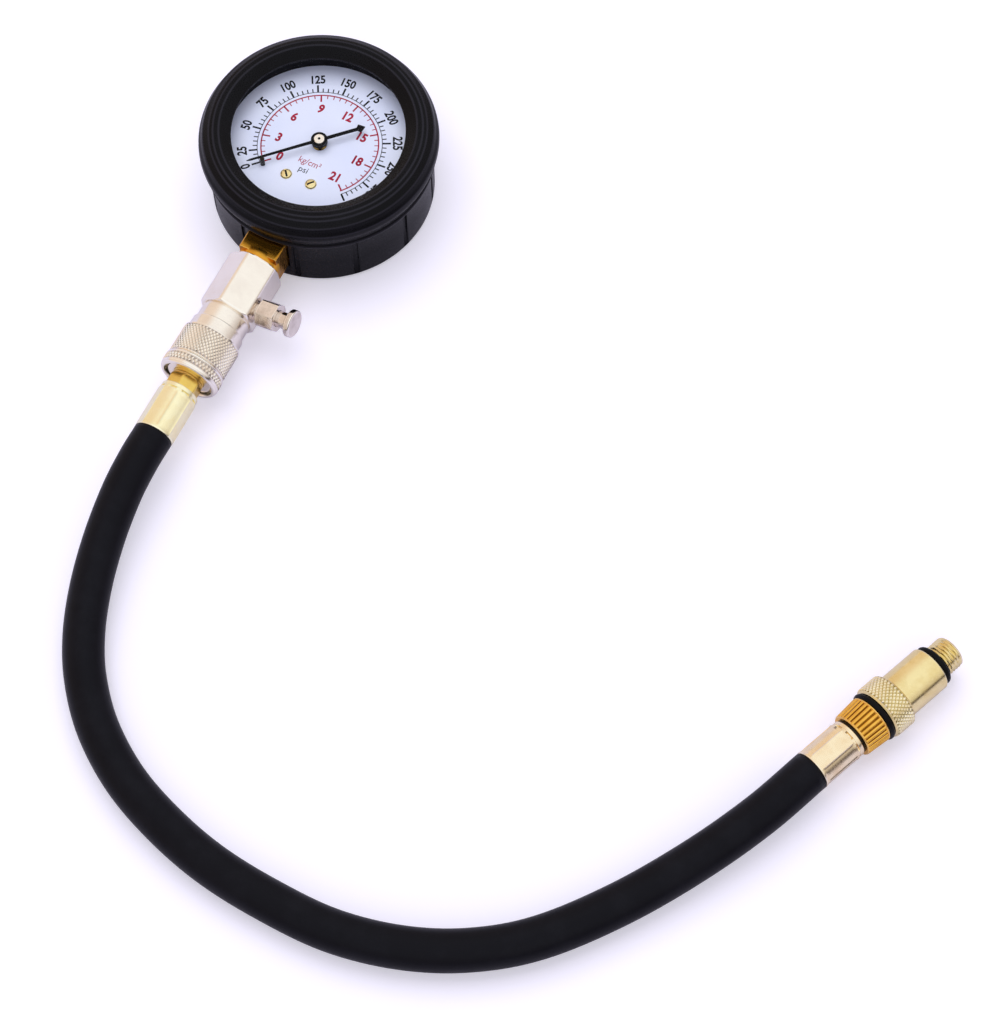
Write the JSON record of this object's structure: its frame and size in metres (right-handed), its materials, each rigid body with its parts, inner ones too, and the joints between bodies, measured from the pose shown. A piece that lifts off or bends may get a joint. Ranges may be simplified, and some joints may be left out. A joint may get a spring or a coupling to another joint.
{
  "type": "compression tester gauge",
  "caption": "Round dial pressure gauge in a rubber boot with a quick coupler, bleed button and rubber hose ending in a threaded adapter for an engine's plug hole.",
  "frame": {"origin": "on the flat back of the boot, under the centre of the dial", "axes": "+Z out of the dial, -Y along the stem and the coupler, +X to the right of the dial seen with the stem down"},
  "size_m": [0.2746, 0.2544, 0.032],
  "materials": {
    "boot_rubber": "satin moulded black rubber",
    "case_paint": "black paint on drawn steel",
    "lens_clear": "clear polished lens",
    "gasket_rubber": "matt black rubber",
    "dial_enamel": "pale printed enamel",
    "screw_brass": "turned brass",
    "pin_steel": "turned steel",
    "pointer_paint": "black paint",
    "cap_steel": "polished",
    "movement_brass": "stamped brass",
    "spring_steel": "drawn wire",
    "tube_bronze": "drawn bronze tube",
    "stem_brass": "milled golden brass",
    "nickel": "warm bright nickel plate",
    "ring_dark": "blackened spring steel",
    "seal_rubber": "black rubber",
    "plug_brass": "turned brass",
    "near_ferrule_brass": "pale crimped brass",
    "far_ferrule_brass": "rosy crimped brass",
    "hose_rubber": "matt black rubber",
    "fitting_brass": "golden brass",
    "adapter_brass": "pale turned brass"
  },
  "bodies": {
    "gauge": {"rubber_boot": "boot_rubber", "gauge_case": "case_paint", "lens": "lens_clear", "lens_gasket": "gasket_rubber", "dial_plate": "dial_enamel", "dial_screws": "screw_brass", "dial_spacers": "movement_brass", "stop_pin": "pin_steel", "hairspring": "tube_bronze", "movement_back_plate": "movement_brass", "movement_front_plate": "movement_brass", "movement_pillars": "movement_brass", "movement_screws": "pin_steel", "pressure_tube": "tube_bronze", "tube_tip": "movement_brass", "stem_block": "stem_brass", "coupler_body": "nickel", "sleeve_spring": "spring_steel", "locking_balls": "pin_steel", "retaining_ring": "ring_dark", "coupler_seal": "seal_rubber", "bleed_valve_body": "nickel", "bleed_spring": "spring_steel"},
    "pointer": {"pointer": "pointer_paint", "pointer_cap": "cap_steel", "pinion_arbor": "movement_brass"},
    "sector": {"sector_gear": "movement_brass"},
    "link": {"link": "movement_brass"},
    "sleeve": {"coupler_sleeve": "nickel"},
    "button": {"bleed_button": "nickel", "bleed_seal": "seal_rubber"},
    "hose_set": {"hose_plug": "plug_brass", "near_ferrule": "near_ferrule_brass", "hose": "hose_rubber", "far_ferrule": "far_ferrule_brass", "end_fitting": "fitting_brass", "fitting_seal": "seal_rubber", "check_valve_core": "plug_brass", "check_valve_spring": "spring_steel", "adapter": "adapter_brass", "tip_seal": "seal_rubber"},
    "check_pin": {"check_valve_pin": "pin_steel", "check_valve_seal": "seal_rubber"}
  },
  "joints": [
    {"name": "pointer_turn", "type": "hinge", "parent": "gauge", "child": "pointer", "pos_m": [0, 0, 0.0224], "axis": [0, 0, 1], "range_deg": [-270, 0], "stiffness_Nm_per_rad": 0.0001, "deforming": ["hairspring"]},
    {"name": "sector_turn", "type": "hinge", "parent": "gauge", "child": "sector", "pos_m": [0.01255, -0.0011, 0.0168], "axis": [0, 0, 1], "range_deg": [0, 33.75]},
    {"name": "link_swing", "type": "hinge", "parent": "sector", "child": "link", "pos_m": [0.01877, -0.00298, 0.0158], "axis": [0, 0, 1], "range_deg": [-33.75, 0]},
    {"name": "sleeve_pull", "type": "slide", "parent": "gauge", "child": "sleeve", "axis": [0, 1, 0], "range_m": [0, 0.0035], "stiffness_N_per_m": 1500, "springref_m": -0.003, "deforming": ["sleeve_spring"]},
    {"name": "bleed_press", "type": "slide", "parent": "gauge", "child": "button", "axis": [-0.9903, 0, -0.1392], "range_m": [0, 0.0025], "stiffness_N_per_m": 800, "springref_m": -0.002, "deforming": ["bleed_spring"]},
    {"name": "hose_swivel", "type": "hinge", "parent": "gauge", "child": "hose_set", "pos_m": [0, -0.085, 0.013], "axis": [0, 1, 0], "continuous": true},
    {"name": "check_open", "type": "slide", "parent": "hose_set", "child": "check_pin", "axis": [-0.389, -0.9212, 0], "range_m": [0, 0.001], "stiffness_N_per_m": 300, "springref_m": -0.001, "deforming": ["check_valve_spring"]}
  ],
  "couplings": [
    {"joint": "sector_turn", "follows": "pointer_turn", "ratio": -0.125},
    {"joint": "link_swing", "follows": "pointer_turn", "ratio": 0.125}
  ]
}
